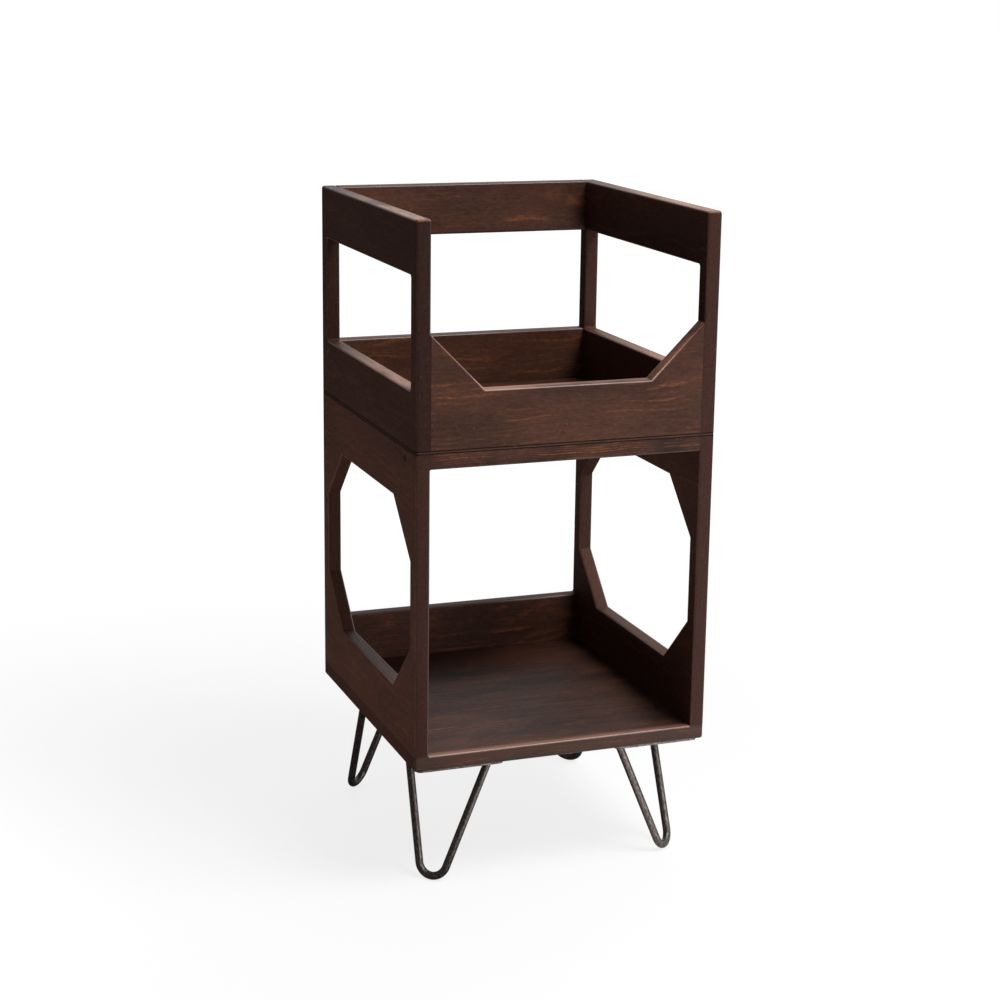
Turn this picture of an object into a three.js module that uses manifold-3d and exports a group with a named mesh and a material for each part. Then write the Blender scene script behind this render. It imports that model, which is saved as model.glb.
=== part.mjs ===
// Record storage stand: an open-top crate for browsing records, standing on an open-front cabinet
// that is carried by four bent hairpin legs. Millimetres, +Z up. The origin is the centre of the
// footprint on the floor, the open front faces -Y and the width runs along X.

import * as THREE from 'three';
import { mergeVertices, toCreasedNormals } from 'three/addons/utils/BufferGeometryUtils.js';
import Module from 'manifold-3d';

const wasm = await Module();
wasm.setup();

// ---- Driving dimensions -------------------------------------------------------------------------

// The whole stand
const standWidth = 368;
const standDepth = 380;
const boardThickness = 18;
const edgeRound = 3; // round-over along every exposed board edge
const cornerRound = 3.5; // radius of a board's outer corners, a little over the round-over
const seat = 0.2; // play left wherever one piece bears on another, or in a glued joint

// Openings shared by the side boards
const stile = 20; // wood left in front of and behind each side opening

// Cabinet
const cabinetHeight = 375.5; // underside of the bottom board to the top of the side boards
const cabinetSill = 63.5; // wood below the octagonal openings and height of the back rail
const cabinetHeader = 64; // wood above the octagonal openings
const octagonCut = 63.5; // length of each 45-degree corner, measured along the edge

// Crate
const panelThickness = 4; // thin bottom panel that the crate's walls stand on
const crateHeight = 258; // walls above the panel
const crateSill = 66; // front lip, back rail and wood below the hand windows
const crateTopRail = 63.5; // wood above the hand windows and height of the back top rail
const windowCorner = 3; // radius that the saw leaves in the hand windows' corners
const lipFlat = 203; // level middle of the front board's cut-out, which rises at 45 degrees beside it

// Locating dowels between cabinet and crate
const dowelDiameter = 8;
const dowelBelow = 20; // length glued into the cabinet's side board
const dowelAbove = 11; // length that stands up through the panel into the crate's side board
const dowelInset = 45; // from the front and back faces
const dowelPlay = 0.3; // all round in the crate, so that it lifts off
const dowelChamfer = 1.2;
const drillAllowance = 1; // blind holes are drilled this much deeper than what they hold
const drillStart = 1; // and every drill starts this far outside the face it enters

// Hairpin legs
const legHeight = 150; // floor to the underside of the cabinet
const rodDiameter = 9.5;
const footBendRadius = 18.4; // centreline of the bend
const footInset = 32; // bend's middle, from both outer faces of the cabinet
const rodTopNear = 25; // each rod's top lies this far from one outer face
const rodTopFar = 101; // and this far from the other
const footFlat = 0.3; // depth of the flat worn on the bend where it stands
const weldReach = 2.5; // weld bead round each rod under the plate
const weldHeight = 4;

// Leg plates
const plateThickness = 3;
const plateInset = 5; // from the cabinet's outer faces
const plateReach = 113; // far tips of the plate, from the same faces
const plateTip = 26; // width of the cut-off tips
const plateCorner = 8; // reach of the rounding at each of the plate's corners

// Plate screws, each given by its distances from the two outer faces
const plateScrewSpots = [[20, 20], [66, 18], [18, 66], [56, 56]];
const screwShank = 4;
const screwHead = 8.4;
const screwHeadHeight = 2.6;
const screwBite = 13; // length in the wood
const screwPoint = 4; // length of the tapered point

// Countersunk screws that hold the bottom board to the side boards, from below
const baseScrewLength = 45;
const baseScrewInset = 38; // of the outer ones, from the front and back faces

// Fineness of the curved surfaces
const roundSteps = 3; // across each round-over
const cornerSteps = 2; // half the facets of a quarter turn
const rodSides = 12;
const bendSteps = 13; // odd, so that a level stretch lies at the foot
const turnedSides = 16; // screws, dowels and drilled holes

// ---- Heights, half sizes and places that follow -------------------------------------------------

const halfWidth = standWidth / 2;
const halfDepth = standDepth / 2;
const betweenSides = standWidth - 2 * boardThickness - 2 * seat;
const sideCentre = halfWidth - boardThickness / 2;
const cabinetFloor = legHeight + boardThickness;
const cabinetSideBase = cabinetFloor + seat;
const cabinetTop = legHeight + cabinetHeight;
const panelBase = cabinetTop + seat;
const crateBase = panelBase + panelThickness + seat;
const plateTop = legHeight - seat;
const plateBottom = plateTop - plateThickness;
const dowelPlaces = [-1, 1].map((end) => end * (halfDepth - dowelInset));
const baseScrewPlaces = [-1, 0, 1].map((end) => end * (halfDepth - baseScrewInset));

// A leg is drawn at the front left corner of the footprint, on the floor, with X and Y running
// inwards, and turned about Z to the other corners.
const corners = [
  { name: 'front_left', x: -1, y: -1, turn: 0 },
  { name: 'front_right', x: 1, y: -1, turn: Math.PI / 2 },
  { name: 'back_right', x: 1, y: 1, turn: Math.PI },
  { name: 'back_left', x: -1, y: 1, turn: -Math.PI / 2 }
];

// ---- Finishes -----------------------------------------------------------------------------------

const stainedWood = new THREE.MeshStandardMaterial({ color: 0x4a322a, roughness: 0.5, metalness: 0 });
const stainedPly = new THREE.MeshStandardMaterial({ color: 0x35261f, roughness: 0.6, metalness: 0 });
const oiledSteel = new THREE.MeshStandardMaterial({ color: 0x33302e, roughness: 0.42, metalness: 0.85 });
const blackScrew = new THREE.MeshStandardMaterial({ color: 0x1c1b1a, roughness: 0.38, metalness: 0.8 });
const bareBeech = new THREE.MeshStandardMaterial({ color: 0xb98f63, roughness: 0.65, metalness: 0 });

// ---- Solids: cutting and joining ----------------------------------------------------------------

// A closed geometry as a solid that can be cut and joined.
function solidOf(geometry) {
  const bare = geometry.clone();
  bare.deleteAttribute('normal');
  bare.deleteAttribute('uv');
  const merged = mergeVertices(bare);
  const index = merged.index.array;
  const kept = [];
  for (let i = 0; i < index.length; i += 3) {
    const [a, b, c] = [index[i], index[i + 1], index[i + 2]];
    if (a !== b && b !== c && c !== a) kept.push(a, b, c);
  }
  return new wasm.Manifold(new wasm.Mesh({
    numProp: 3,
    vertProperties: merged.attributes.position.array,
    triVerts: new Uint32Array(kept)
  }));
}

// A solid as a geometry again, smooth over its round-overs and crisp at its edges.
function geometryOf(solid) {
  const mesh = solid.getMesh();
  const geometry = new THREE.BufferGeometry();
  geometry.setAttribute('position', new THREE.BufferAttribute(mesh.vertProperties, 3));
  geometry.setIndex(new THREE.BufferAttribute(mesh.triVerts, 1));
  return toCreasedNormals(geometry, Math.PI / 5);
}

// The block between two opposite corners.
function block(low, high) {
  const size = high.map((value, axis) => value - low[axis]);
  const middle = high.map((value, axis) => (value + low[axis]) / 2);
  return solidOf(new THREE.BoxGeometry(...size).translate(...middle));
}

// A round bar or cone standing on z = 0, with its own radius at each end.
function round(bottomRadius, topRadius, height) {
  const cylinder = new THREE.CylinderGeometry(topRadius, bottomRadius, height, turnedSides);
  return cylinder.rotateX(Math.PI / 2).translate(0, 0, height / 2);
}

// A drill that has entered a face at z = 0 and gone up to a depth.
function drill(radius, depth) {
  return round(radius, radius, drillStart + depth).translate(0, 0, -drillStart);
}

// A solid less one copy of a cutter at each place.
function cutAt(solid, cutter, places) {
  return places.reduce((cut, place) => cut.subtract(solidOf(cutter.clone().translate(...place))), solid);
}

function namedMesh(name, geometry, material) {
  const mesh = new THREE.Mesh(geometry, material);
  mesh.name = name;
  return mesh;
}

// ---- Boards -------------------------------------------------------------------------------------

// Side boards are drawn as seen from the left: X of the outline runs back, Y of it runs up. The left
// one is drawn, with its inner face at z = its thickness, and the right one is its mirror image.
const standingSide = new THREE.Matrix4().makeBasis(
  new THREE.Vector3(0, 1, 0), new THREE.Vector3(0, 0, 1), new THREE.Vector3(1, 0, 0)
);

function rectangle(left, bottom, right, top, radius) {
  const outline = new THREE.Shape();
  outline.absarc(right - radius, bottom + radius, radius, -Math.PI / 2, 0);
  outline.absarc(right - radius, top - radius, radius, 0, Math.PI / 2);
  outline.absarc(left + radius, top - radius, radius, Math.PI / 2, Math.PI);
  outline.absarc(left + radius, bottom + radius, radius, Math.PI, 1.5 * Math.PI);
  return outline;
}

function polygon(points) {
  return new THREE.Shape(points.map(([x, y]) => new THREE.Vector2(x, y)));
}

// The octagonal opening: a rectangle with its corners cut off at 45 degrees.
function octagon(left, bottom, right, top, cut) {
  return polygon([
    [left + cut, bottom], [right - cut, bottom], [right, bottom + cut], [right, top - cut],
    [right - cut, top], [left + cut, top], [left, top - cut], [left, bottom + cut]
  ]);
}

// A board with its outline in XY and z = 0 to its thickness, every edge rounded over on both
// faces, the edges of its openings too.
function roundedBoard(outline, thickness) {
  return new THREE.ExtrudeGeometry(outline, {
    depth: thickness - 2 * edgeRound,
    bevelThickness: edgeRound,
    bevelSize: edgeRound,
    bevelOffset: -edgeRound,
    bevelSegments: roundSteps,
    curveSegments: cornerSteps
  }).translate(0, 0, edgeRound);
}

function squareBoard(outline, thickness) {
  return new THREE.ExtrudeGeometry(outline, {
    depth: thickness,
    bevelEnabled: false,
    curveSegments: cornerSteps
  });
}

// A side board is rounded over on its free edges and square where it meets another piece. It is
// made past those edges and sawn off there.
function sideBoard(height, opening, squareTop) {
  const spare = 2 * cornerRound;
  const upTo = squareTop ? height + spare : height;
  const outline = rectangle(-halfDepth, -spare, halfDepth, upTo, cornerRound);
  outline.holes.push(opening);
  const keep = block([-halfDepth, 0, 0], [halfDepth, height, boardThickness]);
  return solidOf(roundedBoard(outline, boardThickness)).intersect(keep);
}

// The round-overs are routed after the boards are glued up, so the inner edges stay square beside
// each joint. A joint is given by its end, front -1 or back 1, and the heights it runs between.
function squareAtJoints(board, joints) {
  const half = boardThickness / 2;
  return joints.reduce((filled, [end, low, high]) => {
    const [from, to] = [end * halfDepth, end * (halfDepth - half)].sort((a, b) => a - b);
    return filled.add(block([from, low, half], [to, high, boardThickness]));
  }, board);
}

// Holes drilled into a side board's edge: up from its bottom edge, or down from its top edge.
function drillEdge(board, edge, direction, radius, depth, places) {
  const cutter = drill(radius, depth).rotateX(-direction * Math.PI / 2);
  return cutAt(board, cutter, places.map((place) => [place, edge, boardThickness / 2]));
}

function crateSideBoard() {
  const underRail = crateHeight - crateTopRail;
  const window = rectangle(-halfDepth + stile, crateSill, halfDepth - stile, underRail, windowCorner);
  const frontEnd = crateSill + (betweenSides - lipFlat) / 2;
  const board = squareAtJoints(sideBoard(crateHeight, window, false), [
    [-1, 0, frontEnd], [1, 0, crateSill], [1, underRail, crateHeight - cornerRound]
  ]);
  const radius = dowelDiameter / 2 + dowelPlay;
  const depth = dowelAbove - (crateBase - cabinetTop) + drillAllowance;
  return drillEdge(board, 0, 1, radius, depth, dowelPlaces);
}

function cabinetSideBoard() {
  const height = cabinetTop - cabinetSideBase;
  const opening = octagon(
    -halfDepth + stile, cabinetSill, halfDepth - stile, height - cabinetHeader, octagonCut
  );
  const topJoint = [height - boardThickness, height];
  const board = squareAtJoints(sideBoard(height, opening, true), [
    [-1, ...topJoint], [1, ...topJoint], [1, 0, cabinetSill]
  ]);
  const dowelHole = dowelDiameter / 2 + seat;
  const bored = drillEdge(board, height, -1, dowelHole, dowelBelow + drillAllowance, dowelPlaces);
  const pilotDepth = baseScrewLength - boardThickness + drillAllowance;
  return drillEdge(bored, 0, 1, screwShank / 2 + seat, pilotDepth, baseScrewPlaces);
}

// The crate's front board is cut down in the middle so that the records can be leafed through.
function crateFrontBoard() {
  const past = 2 * cornerRound;
  const half = betweenSides / 2;
  const rise = half + past - lipFlat / 2;
  const outline = polygon([
    [-half - past, -past], [half + past, -past], [half + past, crateSill + rise],
    [lipFlat / 2, crateSill], [-lipFlat / 2, crateSill], [-half - past, crateSill + rise]
  ]);
  const keep = block([-half, 0, 0], [half, crateHeight, boardThickness]);
  return solidOf(roundedBoard(outline, boardThickness)).intersect(keep);
}

// A rail between the side boards, square at its ends. One that stands on a board below it is
// square there as well.
function backRail(height, squareBottom) {
  const past = 2 * cornerRound;
  const half = betweenSides / 2;
  const from = squareBottom ? -past : 0;
  const outline = rectangle(-half - past, from, half + past, height, cornerRound);
  const keep = block([-half, 0, 0], [half, height, boardThickness]);
  return solidOf(roundedBoard(outline, boardThickness)).intersect(keep);
}

// The cabinet's top board lies between the side boards, flush with their top edges. Only the
// lower edges of its front and back show, so only these are rounded over.
function cabinetTopBoard() {
  const past = 2 * cornerRound;
  const half = betweenSides / 2;
  const outline = rectangle(-half - past, -halfDepth, half + past, halfDepth, cornerRound);
  const keep = block([-half, -halfDepth, 0], [half, halfDepth, boardThickness]);
  return solidOf(roundedBoard(outline, boardThickness + edgeRound)).intersect(keep);
}

// The bottom board runs the full width, under the side boards. Between them its upper edges are
// rounded over; under them they stay square.
function cabinetBottomBoard() {
  const outline = rectangle(-halfWidth, -halfDepth, halfWidth, halfDepth, cornerRound);
  const upperHalf = squareBoard(outline, boardThickness / 2).translate(0, 0, boardThickness / 2);
  let board = solidOf(roundedBoard(outline, boardThickness));
  for (const side of [-1, 1]) {
    const edges = [side * halfWidth, side * (halfWidth - boardThickness)].sort((a, b) => a - b);
    const strip = block([edges[0], -halfDepth, 0], [edges[1], halfDepth, boardThickness]);
    board = board.add(solidOf(upperHalf).intersect(strip));
  }
  return drillBottomBoard(board);
}

// Pilot holes for the plates' screws, and countersunk holes for the screws up into the sides.
function drillBottomBoard(board) {
  const shank = screwShank / 2 + seat;
  const pilots = corners.flatMap((corner) => plateScrewSpots.map(([fromSide, fromEnd]) => [
    corner.x * (halfWidth - fromSide), corner.y * (halfDepth - fromEnd), 0
  ]));
  const sink = round(screwHead / 2 + 2 * seat, shank, screwHeadHeight + 2 * seat);
  const piloted = cutAt(board, drill(shank, screwBite + drillAllowance), pilots);
  const drilled = cutAt(piloted, drill(shank, boardThickness + drillStart), underSides(baseScrewPlaces));
  return cutAt(drilled, sink, underSides(baseScrewPlaces));
}

// The places under the middles of both side boards, at the given distances from front to back.
function underSides(alongDepth) {
  return [-1, 1].flatMap((side) => alongDepth.map((y) => [side * sideCentre, y, 0]));
}

// Thin panel under the crate's walls, the size of the whole footprint, with a hole for each dowel.
function crateBottomPanel() {
  const outline = rectangle(-halfWidth, -halfDepth, halfWidth, halfDepth, cornerRound);
  const hole = drill(dowelDiameter / 2 + dowelPlay, panelThickness + drillStart);
  return cutAt(solidOf(squareBoard(outline, panelThickness)), hole, underSides(dowelPlaces));
}

// ---- Turned pieces ------------------------------------------------------------------------------

// A profile of [radius, height] points turned about Z.
function turned(points) {
  const profile = points.map(([radius, height]) => new THREE.Vector2(radius, height));
  return new THREE.LatheGeometry(profile, turnedSides).rotateX(Math.PI / 2);
}

function dowel() {
  const radius = dowelDiameter / 2;
  return turned([
    [0, -dowelBelow], [radius - dowelChamfer, -dowelBelow], [radius, dowelChamfer - dowelBelow],
    [radius, dowelAbove - dowelChamfer], [radius - dowelChamfer, dowelAbove], [0, dowelAbove]
  ]);
}

// Pan-head screw, point up, with z = 0 where its head bears on the plate.
function plateScrew() {
  const dome = new THREE.QuadraticBezierCurve(
    new THREE.Vector2(0, -screwHeadHeight),
    new THREE.Vector2(screwHead / 2, -screwHeadHeight),
    new THREE.Vector2(screwHead / 2, 0)
  );
  const domePoints = dome.getPoints(4).map((point) => [point.x, point.y]);
  const length = plateThickness + 2 * seat + screwBite;
  const shank = [[screwShank / 2, 0], [screwShank / 2, length - screwPoint], [0, length]];
  return turned([...domePoints, ...shank]);
}

// Countersunk screw, point up, with z = 0 at its flat head.
function baseScrew() {
  return turned([
    [0, 0], [screwHead / 2, 0], [screwShank / 2, screwHeadHeight],
    [screwShank / 2, baseScrewLength - screwPoint], [0, baseScrewLength]
  ]);
}

// ---- Hairpin legs -------------------------------------------------------------------------------

// Centreline of the bent rod: straight down from the plate, round the foot and straight up again,
// all in one plane that leans outwards. The straights are one step each and the bend takes the
// rest, so the curve is walked by step and not by length.
class HairpinLine extends THREE.Curve {
  constructor() {
    super();
    const topMiddle = (rodTopNear + rodTopFar) / 2;
    this.foot = new THREE.Vector3(footInset, footInset, rodDiameter / 2 - footFlat);
    this.across = new THREE.Vector3(1, -1, 0).normalize();
    this.rise = new THREE.Vector3(topMiddle, topMiddle, plateBottom).sub(this.foot);
    this.topHeight = this.rise.length();
    this.rise.normalize();
    this.planeNormal = new THREE.Vector3().crossVectors(this.across, this.rise);
    this.topHalf = (rodTopFar - rodTopNear) / Math.SQRT2;
    const toTop = new THREE.Vector2(this.topHalf, this.topHeight - footBendRadius);
    // direction, from the bend's centre, of the point where the straight leaves the bend
    this.leave = toTop.angle() - Math.acos(footBendRadius / toTop.length());
  }

  // A point of the leaning plane, given across it and up along it.
  inSpace(across, up) {
    return this.foot.clone().addScaledVector(this.across, across).addScaledVector(this.rise, up);
  }

  onBend(angle) {
    const across = footBendRadius * Math.cos(angle);
    return this.inSpace(across, footBendRadius * (1 + Math.sin(angle)));
  }

  // The straight passes a little beyond the plate's underside, where it is sawn off level.
  onStraight(side, part) {
    const end = this.onBend(side > 0 ? this.leave : -Math.PI - this.leave);
    const top = this.inSpace(side * this.topHalf, this.topHeight);
    const beyond = top.clone().sub(end).setLength(rodDiameter);
    return end.lerp(top.add(beyond), part);
  }

  getPoint(t, target = new THREE.Vector3()) {
    const step = t * (bendSteps + 2);
    if (step <= 1) return target.copy(this.onStraight(-1, 1 - step));
    if (step >= bendSteps + 1) return target.copy(this.onStraight(1, step - bendSteps - 1));
    const from = -Math.PI - this.leave;
    return target.copy(this.onBend(THREE.MathUtils.lerp(from, this.leave, (step - 1) / bendSteps)));
  }

  getPointAt(u, target) {
    return this.getPoint(u, target);
  }

  getTangentAt(u, target) {
    return this.getTangent(u, target);
  }

  // The section keeps one axis square to the leaning plane all the way.
  computeFrenetFrames(steps) {
    const tangents = Array.from({ length: steps + 1 }, (_, i) => this.getTangentAt(i / steps));
    const normals = tangents.map(() => this.planeNormal.clone());
    const binormals = tangents.map((t) => new THREE.Vector3().crossVectors(t, this.planeNormal));
    return { tangents, normals, binormals };
  }
}

// The rod, flat where it stands, level under the plate and with a weld bead round each top.
function legRod() {
  const section = new THREE.Shape().absarc(0, 0, rodDiameter / 2, 0, 2 * Math.PI);
  const swept = new THREE.ExtrudeGeometry(section, {
    steps: bendSteps + 2,
    curveSegments: rodSides / 2,
    extrudePath: new HairpinLine()
  });
  const reach = rodTopFar + standWidth;
  let rod = solidOf(swept).intersect(block([-reach, -reach, 0], [reach, reach, plateBottom]));
  const bead = round(rodDiameter / 2, rodDiameter / 2 + weldReach, weldHeight);
  for (const [x, y] of [[rodTopNear, rodTopFar], [rodTopFar, rodTopNear]]) {
    rod = rod.add(solidOf(bead.clone().translate(x, y, plateBottom - weldHeight)));
  }
  return rod;
}

// Triangular plate with its two far tips cut off and a hole for each screw.
function legPlate() {
  const near = plateInset;
  const outline = roundedPolygon([
    [near, near], [plateReach, near], [plateReach, near + plateTip],
    [near + plateTip, plateReach], [near, plateReach]
  ], plateCorner);
  for (const [x, y] of plateScrewSpots) {
    outline.holes.push(new THREE.Path().absarc(x, y, screwShank / 2 + seat, 0, 2 * Math.PI));
  }
  return new THREE.ExtrudeGeometry(outline, {
    depth: plateThickness,
    bevelEnabled: false,
    curveSegments: turnedSides / 2
  });
}

// A polygon whose corners are rounded with a curve that starts and ends at the same distance.
function roundedPolygon(points, radius) {
  const outline = new THREE.Shape();
  const at = (index) => new THREE.Vector2(...points[(index + points.length) % points.length]);
  points.forEach((_, index) => {
    const corner = at(index);
    const before = at(index - 1).sub(corner).setLength(radius).add(corner);
    const after = at(index + 1).sub(corner).setLength(radius).add(corner);
    if (index === 0) outline.moveTo(before.x, before.y);
    else outline.lineTo(before.x, before.y);
    outline.quadraticCurveTo(corner.x, corner.y, after.x, after.y);
  });
  return outline;
}

// ---- Assembly -----------------------------------------------------------------------------------

function buildCrate() {
  const crate = new THREE.Group();
  crate.position.z = crateBase;

  const panel = namedMesh('crate_bottom_panel', geometryOf(crateBottomPanel()), stainedPly);
  panel.position.z = panelBase - crateBase;
  crate.add(panel);

  addSidePair(crate, 'crate_side', crateSideBoard());

  const front = namedMesh('crate_front_board', geometryOf(crateFrontBoard()), stainedWood);
  front.rotation.x = Math.PI / 2;
  front.position.y = -halfDepth + boardThickness;
  crate.add(front);

  const lower = namedMesh('crate_back_lower_rail', geometryOf(backRail(crateSill, true)), stainedWood);
  const upper = namedMesh('crate_back_top_rail', geometryOf(backRail(crateTopRail, false)), stainedWood);
  upper.position.z = crateHeight - crateTopRail;
  for (const rail of [lower, upper]) {
    rail.rotation.x = Math.PI / 2;
    rail.position.y = halfDepth;
    crate.add(rail);
  }
  return crate;
}

function addSidePair(parent, name, leftBoard) {
  const rightBoard = leftBoard.mirror([0, 0, 1]).translate([0, 0, boardThickness]);
  const pair = [
    ['left', leftBoard, -halfWidth], ['right', rightBoard, halfWidth - boardThickness]
  ];
  for (const [end, solid, left] of pair) {
    const board = namedMesh(`${name}_${end}`, geometryOf(solid), stainedWood);
    board.setRotationFromMatrix(standingSide);
    board.position.x = left;
    parent.add(board);
  }
}

function buildCabinet() {
  const cabinet = new THREE.Group();

  const bottom = namedMesh('cabinet_bottom_board', geometryOf(cabinetBottomBoard()), stainedWood);
  bottom.position.z = legHeight;
  cabinet.add(bottom);

  const sides = new THREE.Group();
  sides.position.z = cabinetSideBase;
  addSidePair(sides, 'cabinet_side', cabinetSideBoard());
  cabinet.add(sides);

  const top = namedMesh('cabinet_top_board', geometryOf(cabinetTopBoard()), stainedWood);
  top.position.z = cabinetTop - boardThickness;
  cabinet.add(top);

  const rail = namedMesh('cabinet_back_rail', geometryOf(backRail(cabinetSill, true)), stainedWood);
  rail.rotation.x = Math.PI / 2;
  rail.position.set(0, halfDepth, cabinetSideBase);
  cabinet.add(rail);

  addDowels(cabinet);
  addBaseScrews(cabinet);
  return cabinet;
}

function addDowels(cabinet) {
  const geometry = dowel();
  for (const [end, side] of [['left', -1], ['right', 1]]) {
    for (const [face, y] of [['front', dowelPlaces[0]], ['back', dowelPlaces[1]]]) {
      const pin = namedMesh(`locating_dowel_${face}_${end}`, geometry, bareBeech);
      pin.position.set(side * sideCentre, y, cabinetTop);
      cabinet.add(pin);
    }
  }
}

function addBaseScrews(cabinet) {
  const geometry = baseScrew();
  for (const [end, side] of [['left', -1], ['right', 1]]) {
    baseScrewPlaces.forEach((y, index) => {
      const screw = namedMesh(`base_screw_${end}_${index + 1}`, geometry, blackScrew);
      screw.position.set(side * sideCentre, y, legHeight + seat);
      cabinet.add(screw);
    });
  }
}

function buildLegs() {
  const legs = new THREE.Group();
  const rodGeometry = geometryOf(legRod());
  const plateGeometry = legPlate();
  const screwGeometry = plateScrew();
  for (const corner of corners) {
    const leg = new THREE.Group();
    leg.position.set(corner.x * halfWidth, corner.y * halfDepth, 0);
    leg.rotation.z = corner.turn;

    leg.add(namedMesh(`leg_rod_${corner.name}`, rodGeometry, oiledSteel));

    const plate = namedMesh(`leg_plate_${corner.name}`, plateGeometry, oiledSteel);
    plate.position.z = plateBottom;
    leg.add(plate);

    plateScrewSpots.forEach(([x, y], index) => {
      const screw = namedMesh(`leg_screw_${corner.name}_${index + 1}`, screwGeometry, blackScrew);
      screw.position.set(x, y, plateBottom - seat);
      leg.add(screw);
    });
    legs.add(leg);
  }
  return legs;
}

const stand = new THREE.Group();
stand.name = 'record_storage_stand';
stand.add(buildCrate(), buildCabinet(), buildLegs());

export default stand;
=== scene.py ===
# Record storage stand, dressed for its picture: an open-top crate of walnut-stained pine on an
# open-front cabinet of the same boards, carried by four bent steel hairpin legs.
# Metres, +Z up, the front faces -Y.

import math

import bpy
import numpy as np
from mathutils import Matrix, Vector


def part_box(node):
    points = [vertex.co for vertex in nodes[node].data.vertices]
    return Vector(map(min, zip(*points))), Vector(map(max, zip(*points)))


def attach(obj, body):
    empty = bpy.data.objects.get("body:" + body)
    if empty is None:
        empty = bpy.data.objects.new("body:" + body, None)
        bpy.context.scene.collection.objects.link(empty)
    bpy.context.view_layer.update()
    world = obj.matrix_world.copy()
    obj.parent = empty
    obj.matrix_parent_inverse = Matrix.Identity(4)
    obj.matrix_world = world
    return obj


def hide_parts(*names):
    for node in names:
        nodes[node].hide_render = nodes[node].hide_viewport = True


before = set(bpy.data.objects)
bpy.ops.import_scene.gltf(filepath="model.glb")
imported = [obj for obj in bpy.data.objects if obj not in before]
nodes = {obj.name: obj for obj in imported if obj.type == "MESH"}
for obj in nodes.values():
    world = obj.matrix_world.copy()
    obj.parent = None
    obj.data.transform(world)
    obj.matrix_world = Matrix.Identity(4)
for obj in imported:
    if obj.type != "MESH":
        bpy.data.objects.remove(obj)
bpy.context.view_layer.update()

# ---- Camera -------------------------------------------------------------------------------------
# A long lens stands 2.6 m away at the front left, a little above the crate, and looks down on the
# stand. Its place was fitted to the corners of both boxes and to the legs in the photograph.

image_pixels = 1000
focal_pixels = 2138.0
sensor_width = 36.0  # millimetres
clip_near, clip_far = 0.05, 100
camera_place = Vector((-0.9061, -2.3955, 1.0554))
camera_heading = math.radians(-20.47)
camera_fall = math.radians(14.02)
camera_roll = math.radians(0.77)

back = Vector((
    math.sin(camera_heading) * math.cos(camera_fall),
    -math.cos(camera_heading) * math.cos(camera_fall),
    math.sin(camera_fall),
))
level_right = (-back).cross(Vector((0, 0, 1))).normalized()
level_up = level_right.cross(-back)
right = level_right * math.cos(camera_roll) + level_up * math.sin(camera_roll)
up = level_up * math.cos(camera_roll) - level_right * math.sin(camera_roll)
camera_turn = Matrix((right, up, back)).transposed().to_4x4()

camera_data = bpy.data.cameras.new("camera")
camera_data.sensor_width = sensor_width
camera_data.lens = focal_pixels * sensor_width / image_pixels
camera_data.clip_start, camera_data.clip_end = clip_near, clip_far
camera = bpy.data.objects.new("camera", camera_data)
camera.matrix_world = Matrix.Translation(camera_place) @ camera_turn
bpy.context.scene.collection.objects.link(camera)
bpy.context.scene.camera = camera

# ---- Floor --------------------------------------------------------------------------------------
# A plain matt studio floor that runs past the picture on every side and takes the stand's shadow.
# The camera sees it whiter than the light makes it, most of all away from the stand, and the steel
# of the legs mirrors it as white in front of them.

floor_half = 30.0
floor_drop = 0.0002  # just under the feet
floor_tone = 0.16
floor_roughness, floor_shine = 0.9, 0.1
floor_lift_near, floor_lift_far = 0.80, 0.97
lift_from, lift_to = 0.3, 2.2  # metres from the middle of the stand
mirrored_place = Vector((0.20, -0.50, 0))
mirrored_strength = 1.7
mirrored_from, mirrored_to = 0.20, 0.42  # metres from that place
white = (1, 1, 1, 1)


def link_object(name, data):
    """Puts new data into the scene as an object at the origin."""
    made = bpy.data.objects.new(name, data)
    bpy.context.scene.collection.objects.link(made)
    return made


def mesh_object(name, points, faces, material, crease=math.radians(50)):
    """An object from an array of points and a list of faces, smooth where it bends gently."""
    mesh = bpy.data.meshes.new(name)
    mesh.from_pydata(np.asarray(points).tolist(), [], faces)
    mesh.materials.append(material)
    mesh.shade_smooth()
    mesh.set_sharp_from_angle(angle=crease)
    return link_object(name, mesh)


def feed(tree, node, inputs):
    """Sets a node's inputs to values, or joins them to the sockets given for them."""
    for key, value in inputs.items():
        if isinstance(value, bpy.types.NodeSocket):
            tree.links.new(value, node.inputs[key])
        else:
            node.inputs[key].default_value = value


def add(tree, kind, inputs=None, **settings):
    """A new shader node with its settings and its inputs."""
    made = tree.nodes.new("ShaderNode" + kind)
    for name, value in settings.items():
        setattr(made, name, value)
    feed(tree, made, inputs or {})
    return made


def maths(tree, operation, *values, clamp=False):
    """The result of one Math node."""
    made = add(tree, "Math", dict(enumerate(values)), operation=operation, use_clamp=clamp)
    return made.outputs[0]


def measured(tree, operation, *vectors):
    """The number that one Vector Math node works out from its vectors."""
    made = add(tree, "VectorMath", dict(enumerate(vectors)), operation=operation)
    return made.outputs["Value"]


def between(tree, value, low, high, start=0.0, end=1.0):
    """The start up to the low value, the end from the high one on, and smooth between them."""
    made = add(tree, "MapRange", {
        "Value": value, "From Min": low, "From Max": high, "To Min": start, "To Max": end,
    }, interpolation_type="SMOOTHSTEP")
    return made.outputs["Result"]


def new_material(name):
    """A material with an empty Principled shader: the material, its tree and that shader."""
    material = bpy.data.materials.new(name)
    material.use_nodes = True
    return material, material.node_tree, material.node_tree.nodes["Principled BSDF"]


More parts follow.
